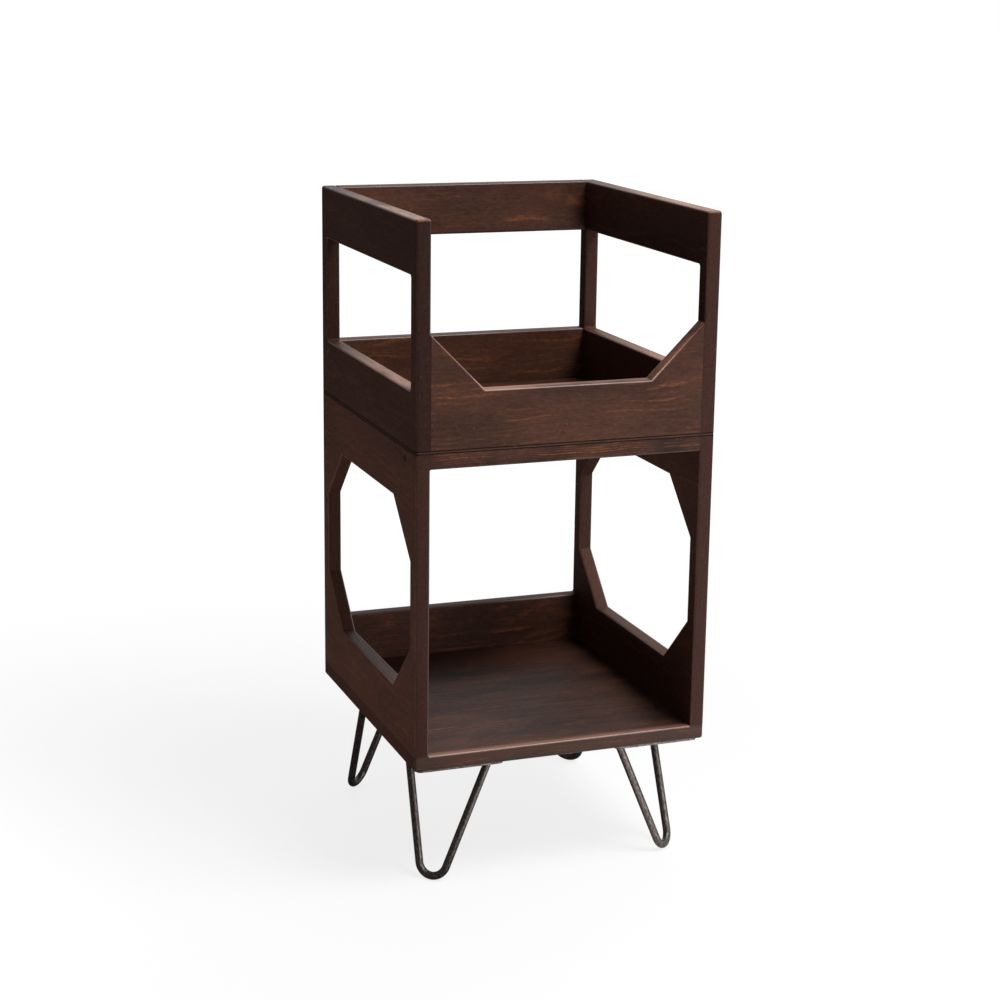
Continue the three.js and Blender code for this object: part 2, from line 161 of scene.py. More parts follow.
floor_material, tree, shader = new_material("studio_floor_white")
place = add(tree, "TexCoord").outputs["Object"]
away = measured(tree, "LENGTH", place)
lift = between(tree, away, lift_from, lift_to, floor_lift_near, floor_lift_far)
aside = measured(tree, "DISTANCE", place, mirrored_place)
mirrored = between(tree, aside, mirrored_from, mirrored_to, mirrored_strength, 0.0)
ray = add(tree, "LightPath").outputs
in_view = maths(tree, "MULTIPLY", ray["Is Camera Ray"], lift)
in_mirror = maths(tree, "MULTIPLY", ray["Is Glossy Ray"], mirrored)
feed(tree, shader, {
    "Base Color": (floor_tone, floor_tone, floor_tone, 1),
    "Roughness": floor_roughness,
    "Specular IOR Level": floor_shine,
    "Emission Color": white,
    "Emission Strength": maths(tree, "ADD", in_view, in_mirror),
})

corners = np.array([[-1, -1], [1, -1], [1, 1], [-1, 1]]) * floor_half
floor_points = np.column_stack([corners, np.full(4, -floor_drop)])
floor = mesh_object("studio_floor", floor_points, [[0, 1, 2, 3]], floor_material)

# ---- Light --------------------------------------------------------------------------------------
# One large soft lamp hangs above the stand, forward and to the right. A weaker one fills the front
# from low down, two near the floor stand for light that comes back off it, and one behind glances
# along the level surfaces. The room is dark but for a white wall to the right.

wall_direction = Vector((0.95, 0.31, 0.0))
wall_from, wall_to = -0.15, 0.6  # of a direction's part towards the wall
wall_strength, room_strength = 0.85, 0.10
key_place, key_size, key_power = Vector((0.8, -1.0, 2.4)), 1.2, 58.0
fill_place, fill_size, fill_power = Vector((0.9, -2.0, 0.25)), 0.9, 15.0
low_place, low_size, low_power = Vector((-0.9, 0.0, 0.05)), 0.5, 5.2
near_place, near_size, near_power = Vector((0.50, -0.75, 0.05)), 0.4, 3.2
rim_place, rim_size, rim_power = Vector((0.7, 2.4, 1.9)), 1.4, 6.0
aim = Vector((0, 0, 0.45))


def softbox(name, place, size, power, mirrored=True):
    """A square area lamp aimed at the stand. One that isn't mirrored leaves the steel dark."""
    data = bpy.data.lights.new(name, "AREA")
    data.size, data.energy = size, power
    lamp = link_object(name, data)
    lamp.location = place
    lamp.rotation_mode = "QUATERNION"
    lamp.rotation_quaternion = (aim - place).to_track_quat("-Z", "Y")
    lamp.visible_camera = False
    lamp.visible_glossy = mirrored


softbox("key_lamp", key_place, key_size, key_power)
softbox("fill_lamp", fill_place, fill_size, fill_power)
softbox("low_lamp", low_place, low_size, low_power, mirrored=False)
softbox("near_lamp", near_place, near_size, near_power)
softbox("rim_lamp", rim_place, rim_size, rim_power)

world = bpy.data.worlds.new("studio_room")
bpy.context.scene.world = world
world.use_nodes = True
tree = world.node_tree
direction = add(tree, "TexCoord").outputs["Generated"]
towards_wall = measured(tree, "DOT_PRODUCT", direction, wall_direction)
wall = between(tree, towards_wall, wall_from, wall_to, room_strength, wall_strength)
seen = add(tree, "LightPath").outputs["Is Camera Ray"]
feed(tree, tree.nodes["Background"], {
    "Color": white,
    "Strength": maths(tree, "MAXIMUM", seen, wall),
})

bpy.context.scene.view_settings.view_transform = "Standard"

# ---- Crate side boards --------------------------------------------------------------------------
# Two pine boards, planed to 18 mm and stained walnut, with a sawn hand window and every free edge
# rounded over with a router. The grain runs from front to back. They are glued to the crate's rails.


def tone(red, green, blue):
    """A screen colour, 0 to 255 each, made linear for a shader by the formula of sRGB."""
    screen = np.array([red, green, blue]) / 255
    linear = np.where(screen <= 0.04045, screen / 12.92, ((screen + 0.055) / 1.055) ** 2.4)
    return (*linear.tolist(), 1)


def new_group(name, takes, gives):
    """A shader node group: its tree, the sockets it takes and the node that its results go to."""
    tree = bpy.data.node_groups.new(name, "ShaderNodeTree")
    for socket, kind in takes.items():
        tree.interface.new_socket(socket, in_out="INPUT", socket_type="NodeSocket" + kind)
    for socket, kind in gives.items():
        tree.interface.new_socket(socket, in_out="OUTPUT", socket_type="NodeSocket" + kind)
    return tree, tree.nodes.new("NodeGroupInput").outputs, tree.nodes.new("NodeGroupOutput")


def stretched_noise(tree, place, stretch, detail=2.0, roughness=0.5):
    """Noise of about 0.2 to 0.8, drawn out by its own number of cycles per metre on each axis."""
    scaled = add(tree, "VectorMath", {0: place, 1: stretch}, operation="MULTIPLY")
    noise = add(tree, "TexNoise", {
        "Vector": scaled.outputs[0], "Scale": 1.0, "Detail": detail, "Roughness": roughness,
    })
    return noise.outputs["Fac"]


def patches(tree, place, stretch, span, detail=2.0, roughness=0.5):
    """Stretched noise drawn up into patches: 0 where it lies below the span and 1 above it."""
    return between(tree, stretched_noise(tree, place, stretch, detail, roughness), *span)


def blend(tree, amount, first, second, mode="MIX"):
    """Two colours mixed by an amount."""
    made = add(tree, "MixRGB", {"Fac": amount, "Color1": first, "Color2": second}, blend_type=mode)
    return made.outputs["Color"]


def axis_part(tree, vector, axis):
    """The X, Y or Z of a vector."""
    return add(tree, "SeparateXYZ", {0: vector}).outputs[axis]


def raised_from(tree, value, least):
    """A value of 0 to 1, drawn together so that it starts at the least one."""
    return maths(tree, "MULTIPLY_ADD", value, 1 - least, least)


def relief(tree, height, depth, strength=0.5):
    """The normal of a surface roughened by a height, as deep as the depth in metres says."""
    made = add(tree, "Bump", {"Height": height, "Distance": depth, "Strength": strength})
    return made.outputs["Normal"]


# Cycles per metre of the wood's patterns, along the grain and twice across it.
waver_stretch, cloud_stretch = (5, 14, 14), (6, 16, 16)
wisp_stretch, dash_stretch = (12, 38, 38), (170, 520, 520)
fleck_stretch, fleck_group_stretch = (26, 420, 420), (9, 40, 40)
fibre_stretch, pore_stretch = (16, 460, 460), (60, 1500, 1500)
mottle_stretch, speck_stretch = (120, 320, 320), (330, 330, 330)

# How high the noise stands where a pattern starts and where it is full.
wisp_span, dash_span = (0.40, 0.60), (0.38, 0.62)
fleck_span, fleck_group_span = (0.56, 0.72), (0.45, 0.62)
pore_span, speck_span = (0.63, 0.72), (0.83, 0.87)

# A late-wood line's start, its full strength and its two ends, in shares of a ring.
line_from, line_full, line_fading, line_to = 0.40, 0.84, 0.86, 1.0
weakest_line, weakest_dash = 0.15, 0.15
line_rarity = 1.6  # the higher, the fewer lines are strong
fleck_strength = 0.30


def pine_figure():
    """Sawn pine, worked out in the solid. Place is measured from the pith, with X along the grain.
    The distance from the pith, wavering a little, divided by the ring width counts the growth
    rings. Each ends in a late-wood line with its own strength, which noise drawn out along the
    grain breaks into wisps and dashes. Fibres, pores and mottling are finer noise of that kind,
    and specks are the few highest points of an even one."""
    tree, takes, gives = new_group(
        "pine_figure",
        {"Place": "Vector", "Ring Width": "Float", "Waver": "Float"},
        {"Late Wood": "Float", "Ring Line": "Float", "Fibre": "Float", "Pores": "Float",
         "Mottle": "Float", "Cloud": "Float", "Specks": "Float"},
    )
    place = takes["Place"]
    apart = add(tree, "SeparateXYZ", {0: place})
    across = add(tree, "CombineXYZ", {"Y": apart.outputs["Y"], "Z": apart.outputs["Z"]})
    distance = measured(tree, "LENGTH", across.outputs[0])
    waver = maths(tree, "SUBTRACT", stretched_noise(tree, place, waver_stretch, detail=3), 0.5)
    bend = maths(tree, "MULTIPLY", waver, takes["Waver"])
    rings = maths(tree, "DIVIDE", maths(tree, "ADD", distance, bend), takes["Ring Width"])
    in_ring = maths(tree, "FRACT", rings)
    starts = between(tree, in_ring, line_from, line_full)
    ends = between(tree, in_ring, line_to, line_fading)
    line = maths(tree, "MULTIPLY", starts, ends)
    chance = add(tree, "TexWhiteNoise", {"W": maths(tree, "FLOOR", rings)}, noise_dimensions="1D")
    rare = maths(tree, "POWER", chance.outputs["Value"], line_rarity)
    ring_line = maths(tree, "MULTIPLY", line, raised_from(tree, rare, weakest_line))

    wisps = patches(tree, place, wisp_stretch, wisp_span, detail=3)
    dashes = patches(tree, place, dash_stretch, dash_span, detail=4, roughness=0.7)
    broken = maths(tree, "MULTIPLY", wisps, raised_from(tree, dashes, weakest_dash))
    flecks = patches(tree, place, fleck_stretch, fleck_span)
    fleck_groups = patches(tree, place, fleck_group_stretch, fleck_group_span)
    scattered = maths(tree, "MULTIPLY", flecks, fleck_groups)
    drawn = maths(tree, "MULTIPLY", ring_line, broken)

    feed(tree, gives, {
        "Late Wood": maths(tree, "MULTIPLY_ADD", scattered, fleck_strength, drawn, clamp=True),
        "Ring Line": ring_line,
        "Fibre": stretched_noise(tree, place, fibre_stretch, detail=4, roughness=0.65),
        "Pores": patches(tree, place, pore_stretch, pore_span, detail=1),
        "Mottle": stretched_noise(tree, place, mottle_stretch, detail=5, roughness=0.75),
        "Cloud": stretched_noise(tree, place, cloud_stretch, detail=4, roughness=0.55),
        "Specks": patches(tree, place, speck_stretch, speck_span, detail=0),
    })
    return tree


# Where the surface's normal has turned to end grain, to face up, and off the face on a round-over.
end_grain_span = (0.45, 0.95)  # of its part along the grain
upward_span = (0.15, 0.8)  # of its part straight up
rounded_span = (0.04, 0.25)  # of s (1 - s), where s is the square of its part along the face axis

body_span = (0.32, 0.68)  # of the cloud, from the dark tone to the body's
edge_span = (0.3, 0.7)  # of the cloud, where round-overs turn paler, partly wear and partly a painted highlight
hand_and_highlight_span = (0.34, 0.56)  # of cloud and fibre together, where upward surfaces turn paler, as wear by hands and as a painted highlight
cloud_share, fibre_share = 0.6, 0.4
# How far round-overs and upward surfaces go over to the pale colour, as worn stain and as a painted
# highlight.
edge_wear_and_highlight, hand_wear_and_highlight = 0.10, 0.80
end_ring_strength, pore_strength, speck_strength = 0.16, 0.30, 0.30
least_light, fibre_light, mottle_light = 0.02, 0.36, 1.60
pore_black = (0.004, 0.003, 0.002, 1)
stain_roughness, fibre_gloss, end_dullness, rubbed_gloss = 0.62, 0.22, 0.10, 0.16
late_wood_height, pore_depth = 0.4, 0.6  # beside the fibre's height of 1


def walnut_stain():
    """The stain and the satin oil over it. Early wood drinks more stain than late wood, so the
    late-wood wisps show warmer and paler; end grain drinks most and shows its rings as faint lines.
    Upward surfaces turn paler, as far as the input for hands and light says, and so does each
    round-over a little, which is where the surface is half turned away from the board's face:
    partly stain worn thin by hands, partly a painted highlight. Polish is 1 there, for the coat of
    oil that hands and cloths have worked up on it."""
    tree, takes, gives = new_group(
        "walnut_stain",
        {"Late Wood": "Float", "Ring Line": "Float", "Fibre": "Float", "Pores": "Float",
         "Mottle": "Float", "Cloud": "Float", "Specks": "Float", "Handled And Lit": "Float",
         "Normal": "Vector", "Grain Axis": "Vector", "Face Axis": "Vector",
         "Dark": "Color", "Body": "Color", "Streak": "Color", "End": "Color", "Rubbed And Highlight": "Color"},
        {"Color": "Color", "Roughness": "Float", "Polish": "Float", "Height": "Float"},
    )
    fibre, cloud, late, normal = (takes[name] for name in ("Fibre", "Cloud", "Late Wood", "Normal"))
    along = maths(tree, "ABSOLUTE", measured(tree, "DOT_PRODUCT", normal, takes["Grain Axis"]))
    end_grain = between(tree, along, *end_grain_span)
    facing = measured(tree, "DOT_PRODUCT", normal, takes["Face Axis"])
    squared = maths(tree, "POWER", facing, 2.0)
    turned = maths(tree, "MULTIPLY", squared, maths(tree, "SUBTRACT", 1.0, squared))
    rounded = between(tree, turned, *rounded_span)
    edge = maths(tree, "MULTIPLY", rounded, between(tree, cloud, *edge_span))
    # Painted highlight and wear: upward surfaces, most where hands reach, and round-overs a little
    # go over to the pale colour.
    upward = between(tree, axis_part(tree, normal, "Z"), *upward_span)
    handled_and_lit = maths(tree, "MULTIPLY", upward, takes["Handled And Lit"])
    flat_fibre = add(tree, "Mix", {"Factor": end_grain, "A": fibre, "B": cloud}).outputs["Result"]
    fine_patchiness = maths(tree, "MULTIPLY", flat_fibre, fibre_share)
    patchiness = maths(tree, "MULTIPLY_ADD", cloud, cloud_share, fine_patchiness)
    streaky = maths(tree, "MULTIPLY", handled_and_lit, between(tree, patchiness, *hand_and_highlight_span))
    hands_and_highlight = maths(tree, "MULTIPLY", streaky, hand_wear_and_highlight)
    wear_and_highlight = maths(tree, "MULTIPLY_ADD", edge, edge_wear_and_highlight, hands_and_highlight, clamp=True)

    body = blend(tree, between(tree, cloud, *body_span), takes["Dark"], takes["Body"])
    streaked = blend(tree, late, body, takes["Streak"])
    end_rings = maths(tree, "MULTIPLY", takes["Ring Line"], end_ring_strength)
    ringed = blend(tree, end_rings, takes["End"], takes["Streak"])
    on_all = blend(tree, end_grain, streaked, ringed)
    grey = maths(tree, "MULTIPLY_ADD", fibre, fibre_light, least_light)
    mottled = maths(tree, "MULTIPLY_ADD", takes["Mottle"], mottle_light, grey)
    light = add(tree, "CombineColor", {"Red": mottled, "Green": mottled, "Blue": mottled})
    fibred = blend(tree, 1.0, on_all, light.outputs["Color"], "MULTIPLY")
    pores = maths(tree, "MULTIPLY", takes["Pores"], pore_strength)
    # The pale colour laid on here is partly worn stain and partly a painted highlight.
    worn = blend(tree, wear_and_highlight, blend(tree, pores, fibred, pore_black), takes["Rubbed And Highlight"])
    specks = maths(tree, "MULTIPLY", takes["Specks"], speck_strength)

    dull = maths(tree, "MULTIPLY_ADD", fibre, -fibre_gloss, stain_roughness)
    duller = maths(tree, "MULTIPLY_ADD", end_grain, end_dullness, dull)
    raised = maths(tree, "MULTIPLY_ADD", late, late_wood_height, fibre)
    feed(tree, gives, {
        "Color": blend(tree, specks, worn, takes["Rubbed And Highlight"]),
        "Roughness": maths(tree, "MULTIPLY_ADD", wear_and_highlight, -rubbed_gloss, duller),
        "Polish": rounded,
        "Height": maths(tree, "MULTIPLY_ADD", takes["Pores"], -pore_depth, raised),
    })
    return tree


figure_group = pine_figure()
stain_group = walnut_stain()

ring_width = 0.0052
fine_ring_width = 0.0030  # of the boards whose front edges show their rings as close lines
ring_waver = 0.030
stain_dark = tone(62, 39, 31)
stain_body = tone(80, 50, 39)
stain_streak = tone(126, 75, 46)
stain_end = tone(63, 39, 33)
# Pale colour of stain worn thin, also laid on upward surfaces and round-overs as a painted
# highlight.
stain_worn_and_highlight = tone(148, 102, 82)
grain_depth = 0.00012
specular_level = 0.08
polish_roughness = 0.40

# The board's own directions, along the grain, across it and through the thickness, in each place
# that a board is used.
standing_along_depth = Matrix(((0, 1, 0), (0, 0, 1), (1, 0, 0)))
standing_along_width = Matrix(((1, 0, 0), (0, 0, 1), (0, -1, 0)))
lying_along_width = Matrix(((1, 0, 0), (0, 1, 0), (0, 0, 1)))

crease = math.radians(42)
weld_reach = 0.00001
flats_first = 100  # how far a large face sets the shading of the round-over beside it, 1 to 100


def shading_group():
    """Geometry nodes: smooth faces, with a sharp edge wherever two meet at more than the crease."""
    tree = bpy.data.node_groups.new("smooth_but_creased", "GeometryNodeTree")
    tree.interface.new_socket("Geometry", in_out="INPUT", socket_type="NodeSocketGeometry")
    tree.interface.new_socket("Geometry", in_out="OUTPUT", socket_type="NodeSocketGeometry")
    start, end = tree.nodes.new("NodeGroupInput"), tree.nodes.new("NodeGroupOutput")
    angle = tree.nodes.new("GeometryNodeInputMeshEdgeAngle")
    steep = tree.nodes.new("FunctionNodeCompare")
    steep.operation = "GREATER_THAN"
    faces = tree.nodes.new("GeometryNodeSetShadeSmooth")
    faces.domain = "FACE"
    edges = tree.nodes.new("GeometryNodeSetShadeSmooth")
    edges.domain = "EDGE"
    feed(tree, steep, {"A": angle.outputs["Unsigned Angle"], "B": crease})
    feed(tree, faces, {"Geometry": start.outputs["Geometry"], "Shade Smooth": True})
    feed(tree, edges, {
        "Geometry": faces.outputs["Geometry"],
        "Selection": steep.outputs["Result"],
        "Shade Smooth": False,
    })
    feed(tree, end, {"Geometry": edges.outputs["Geometry"]})
    return tree


smooth_shading = shading_group()


def crisp(piece):
    """Joins the loose triangles of a board and shades its round-overs smooth and its flats flat."""
    weld = piece.modifiers.new("joined", "WELD")
    weld.merge_threshold = weld_reach
    shade = piece.modifiers.new("smooth", "NODES")
    shade.node_group = smooth_shading
    even = piece.modifiers.new("even", "WEIGHTED_NORMAL")
    even.keep_sharp = True
    even.weight = flats_first


def own_tone(colour, shade, contrast):
    """Colour of one stain on a board, set off by the contrast and darkened by painted shade."""
    body = np.array(stain_body[:3])
    own = shade * (body + contrast * (np.array(colour[:3]) - body))
    return (*own.tolist(), 1)


def stained_board(
    name, directions, pith, lean, shade=1.0, contrast=1.0, handled_and_lit=None, rings=ring_width
):
    """Stains one board. The pith is given from the board's middle, across and through it, and the
    lean is how far the log's axis is turned out of the board about those two directions. Shade
    darkens the whole stain of this board as painted shade, set lower for the boards turned from
    the light, and contrast is how far its dark and its pale parts lie from the middle tone. A range
    of Y, where given, is where its upward surfaces start to turn paler and where they are palest,
    partly from wear by hands and partly as a painted highlight."""
    material, tree, shader = new_material("walnut_stained_" + name)
    low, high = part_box(name)
    turn = Matrix.Rotation(lean[0], 3, "Y") @ Matrix.Rotation(lean[1], 3, "Z") @ directions
    where = add(tree, "TexCoord").outputs
    to_log = add(tree, "Mapping", {
        "Vector": where["Object"],
        "Rotation": turn.to_euler(),
        "Location": -(turn @ ((low + high) / 2)) - Vector((0, *pith)),
    })
    figure = add(tree, "Group", {
        "Place": to_log.outputs["Vector"], "Ring Width": rings, "Waver": ring_waver,
    }, node_tree=figure_group)
    stain = add(tree, "Group", {
        "Normal": where["Normal"],
        "Grain Axis": directions[0],
        "Face Axis": directions[2],
        "Dark": own_tone(stain_dark, shade, contrast),
        "Body": own_tone(stain_body, shade, contrast),
        "Streak": own_tone(stain_streak, shade, contrast),
        "End": own_tone(stain_end, shade, 1.0),
        "Rubbed And Highlight": stain_worn_and_highlight,
    }, node_tree=stain_group)
    feed(tree, stain, {pattern.name: pattern for pattern in figure.outputs})
    # Upward surfaces turn paler towards the front: partly wear by hands, partly a painted highlight.
    if handled_and_lit:
        depth = axis_part(tree, where["Object"], "Y")
        feed(tree, stain, {"Handled And Lit": between(tree, depth, *handled_and_lit)})
    feed(tree, shader, {
        "Base Color": stain.outputs["Color"],
        "Roughness": stain.outputs["Roughness"],
        "Specular IOR Level": specular_level,
        "Coat Weight": stain.outputs["Polish"],
        "Coat Roughness": polish_roughness,
        "Normal": relief(tree, stain.outputs["Height"], grain_depth),
    })
    nodes[name].material_slots[0].material = material
    crisp(nodes[name])


def stain_of(name):
    """A stained board's shader tree, its shader and the colour that it has so far."""
    tree = nodes[name].material_slots[0].material.node_tree
    shader = tree.nodes["Principled BSDF"]
    return tree, shader, shader.inputs["Base Color"].links[0].from_socket


mark_from, mark_full = 1.2, 0.7  # of a mark's reach


def marked(name, marks, mark_colour, amount):
    """Marks on a stained board, each an ellipsoid given by its middle, its reach along the three
    axes and its turn about X. Inside, its colour covers the stain by the amount, and it fades
    out softly round its surface."""
    tree, shader, colour = stain_of(name)
    place = add(tree, "TexCoord").outputs["Object"]
    for middle, reach, turn in marks:
        within = add(tree, "Mapping", {
            "Vector": place, "Location": middle, "Rotation": (turn, 0, 0), "Scale": reach,
        }, vector_type="TEXTURE")
        away = measured(tree, "LENGTH", within.outputs["Vector"])
        mask = maths(tree, "MULTIPLY", between(tree, away, mark_from, mark_full), amount)
        colour = blend(tree, mask, colour, mark_colour)
    feed(tree, shader, {"Base Color": colour})


# The upward edges of the sides turn paler towards the front: partly wear, partly a painted
# highlight.
lit_and_worn_sides = (0.20, -0.12)
# The crate's sides carry painted shade in their stain, the left side most, as it is turned from the
# light.
stained_board(
    "crate_side_left", standing_along_depth, pith=(0.02, 0.34), lean=(0.012, 0.010),
    shade=0.60, contrast=0.4, handled_and_lit=lit_and_worn_sides,
)
stained_board(
    "crate_side_right", standing_along_depth, pith=(-0.02, -0.36), lean=(-0.010, 0.012),
    shade=0.9, contrast=0.5, handled_and_lit=lit_and_worn_sides,
)

# One long scratch and two short ones, down to the pale wood.
left_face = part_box("crate_side_left")[0].x
scratches = [
    ((left_face, 0.166, 0.582), (0.003, 0.0005, 0.011), 0.75),
    ((left_face, 0.150, 0.571), (0.003, 0.0004, 0.005), 0.6),
    ((left_face, -0.118, 0.553), (0.003, 0.0009, 0.0007), 0.0),
]
marked("crate_side_left", scratches, stain_worn_and_highlight, amount=0.5)

# ---- Crate front board and back rails -----------------------------------------------------------
# Three boards between the sides, glued at their ends. The front one is cut down in the middle to a
# level lip with 45-degree shoulders. The grain runs from side to side.

# The lip's upward surfaces turn paler towards the front: partly wear, partly a painted highlight.
lit_and_worn_lip = (0.0, -0.10)
stained_board(
    "crate_front_board", standing_along_width, pith=(0.045, 0.075), lean=(0.030, 0.016),
    handled_and_lit=lit_and_worn_lip,
)
stained_board(
    "crate_back_lower_rail", standing_along_width, pith=(-0.045, 0.085), lean=(0.010, -0.012)
)
stained_board(
    "crate_back_top_rail", standing_along_width, pith=(0.020, -0.090), lean=(-0.014, 0.016)
)

# ---- Crate bottom panel -------------------------------------------------------------------------
# A sheet of 4 mm three-ply that lies under all four walls of the crate and shows as a fine band.
# Its edges are stained with the boards, and painted shade darkens them nearly black along the two
# joints with the walls.

joint_shade_reach = 0.0016  # reach of the painted shade into the panel's edge
painted_shade_black = (0.002, 0.0015, 0.001, 1)

stained_board("crate_bottom_panel", lying_along_width, pith=(0.05, 0.12), lean=(0.006, 0.010))
tree, shader, stained = stain_of("crate_bottom_panel")
panel_low, panel_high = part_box("crate_bottom_panel")
where = add(tree, "TexCoord").outputs
height = axis_part(tree, where["Object"], "Z")
from_top = maths(tree, "SUBTRACT", panel_high.z, height)
from_bottom = maths(tree, "SUBTRACT", height, panel_low.z)
from_joint = maths(tree, "MINIMUM", from_top, from_bottom)
level_face = maths(tree, "ABSOLUTE", axis_part(tree, where["Normal"], "Z"))
# Painted shade: the edge goes nearly black beside each joint.
unshaded = maths(tree, "MAXIMUM", between(tree, from_joint, joint_shade_reach / 2, joint_shade_reach), level_face)
feed(tree, shader, {"Base Color": blend(tree, unshaded, painted_shade_black, stained)})

# ---- Cabinet boards -----------------------------------------------------------------------------
# Two side boards with an octagonal opening, a top board between them, a bottom board under them and
# a low back rail, all 18 mm pine, glued and screwed from below.

# The cabinet's sides carry painted shade in their stain too, the left one more.
stained_board(
    "cabinet_side_left", standing_along_depth, pith=(-0.03, 0.36), lean=(0.012, -0.010),
    shade=0.85, contrast=0.4,
)
stained_board(
    "cabinet_side_right", standing_along_depth, pith=(0.03, -0.34), lean=(-0.012, -0.010),
    shade=0.9, contrast=0.5,
)
stained_board(
    "cabinet_top_board", lying_along_width, pith=(-0.16, 0.110), lean=(0.006, 0.010),
    contrast=1.9, rings=fine_ring_width,
)
# The bottom board's front edge turns paler the same way: partly wear, partly a painted highlight.
lit_and_worn_floor = (-0.177, -0.188)
# The bottom board's stain is darkened by painted shade as well.
stained_board(
    "cabinet_bottom_board", lying_along_width, pith=(-0.16, -0.110), lean=(0.006, 0.010),
    shade=0.80, contrast=1.6, handled_and_lit=lit_and_worn_floor, rings=fine_ring_width,
)
stained_board(
    "cabinet_back_rail", standing_along_width, pith=(0.03, 0.085), lean=(0.010, 0.012)
)

# The bottom board's front edge is scuffed grey along its middle.
base_low, base_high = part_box("cabinet_bottom_board")
front_face, edge_middle = base_low.y, (base_low.z + base_high.z) / 2
scuffed_grey = tone(90, 76, 70)
scuffs = [((0.0, front_face, edge_middle), (0.30, 0.005, 0.014), 0.0)]
marked("cabinet_bottom_board", scuffs, scuffed_grey, amount=0.30)

# A plugged knot near the top of the left side and two pin holes behind it, and dents in the front
# edge of the right side.
plug_colour = tone(26, 18, 15)
plug = [
    ((left_face, -0.1515, 0.5145), (0.003, 0.0055, 0.0038), 0.2),
    ((left_face, -0.134, 0.5180), (0.003, 0.0014, 0.0010), 0.0),
    ((left_face, -0.134, 0.5130), (0.003, 0.0014, 0.0010), 0.0),
]
marked("cabinet_side_left", plug, plug_colour, amount=0.9)
right_face = base_high.x
dents = [
    ((right_face - 0.0050, front_face, 0.212), (0.0005, 0.003, 0.0030), 0.0),
    ((right_face - 0.0072, front_face, 0.206), (0.0006, 0.003, 0.0022), 0.0),
    ((right_face - 0.0058, front_face, 0.199), (0.0005, 0.003, 0.0016), 0.0),
]
marked("cabinet_side_right", dents, plug_colour, amount=0.6)

# ---- Locating dowels ----------------------------------------------------------------------------
# Four 8 mm beech dowels, glued into the tops of the cabinet's sides. They stand up 11 mm into the
# crate's sides to keep it in place, and show only when the crate is lifted off.

beech_pale, beech_dark, beech_fleck = tone(203, 164, 118), tone(170, 126, 84), tone(120, 80, 50)
beech_stretch, beech_fleck_stretch = (900, 900, 60), (1600, 1600, 260)  # cycles per metre
beech_span, beech_fleck_span = (0.35, 0.65), (0.58, 0.68)
beech_fleck_strength = 0.4
beech_roughness, beech_roughening = 0.5, 0.2
beech_grain_depth = 0.0001

beech_material, tree, shader = new_material("beech_dowel_bare")
place = add(tree, "TexCoord").outputs["Object"]
grain = stretched_noise(tree, place, beech_stretch, detail=3)
flecks = patches(tree, place, beech_fleck_stretch, beech_fleck_span, detail=1)
bare = blend(tree, between(tree, grain, *beech_span), beech_pale, beech_dark)
fleck_amount = maths(tree, "MULTIPLY", flecks, beech_fleck_strength)
feed(tree, shader, {
    "Base Color": blend(tree, fleck_amount, bare, beech_fleck),
    "Roughness": maths(tree, "MULTIPLY_ADD", grain, beech_roughening, beech_roughness),
    "Normal": relief(tree, grain, beech_grain_depth),
})
for name, node in nodes.items():
    if name.startswith("locating_dowel"):
        node.material_slots[0].material = beech_material
        crisp(node)

# ---- Hairpin rods -------------------------------------------------------------------------------
# Four 9.5 mm mild steel bars, each bent cold once round a former and welded at both ends to its
# plate. Mill scale under a thin oil leaves them nearly black, rubbed bright in patches.

rod_radius = 0.00475
bend_radius = 0.0184  # to the middle of the bar
foot_inset = 0.032  # of the bend, from both outer faces of the cabinet
rod_top_near, rod_top_far = 0.025, 0.101  # of each top, from the one face and from the other
foot_flat = 0.0003
bead_reach, bead_height = 0.0025, 0.004
bead_fullness = 1.4  # the higher, the more of the bead lies against the plate
bead_ripples = 13
ripple_depth = 0.0003
levelled_from = 3 * bead_height  # below the plate, where rings start to turn level
rod_sides, bend_rings = 40, 41
plain_rings, plain_to = 12, 0.82  # of a straight, up to this share of its length
bead_rings, bead_from = 14, 0.90  # of its last part, which takes the bead

plate_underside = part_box("leg_plate_front_left")[0].z


def closed_skin(rings):
    """Points and faces of a solid given as a stack of closed rings, an array (rings, points, 3).
    Neighbouring rings are joined by four-sided faces, and a fan to the middle of the first and
    the last ring closes the ends."""
    count, sides = rings.shape[:2]
    index = np.arange(count * sides).reshape(count, sides)
    onward = np.roll(index, -1, axis=1)
    walls = np.stack([index[:-1], onward[:-1], onward[1:], index[1:]], axis=-1).reshape(-1, 4)
    first, last = count * sides, count * sides + 1
    start = np.column_stack([onward[0], index[0], np.full(sides, first)])
    end = np.column_stack([index[-1], onward[-1], np.full(sides, last)])
    middles = np.stack([rings[0].mean(axis=0), rings[-1].mean(axis=0)])
    points = np.concatenate([rings.reshape(-1, 3), middles])
    return points, walls.tolist() + start.tolist() + end.tolist()


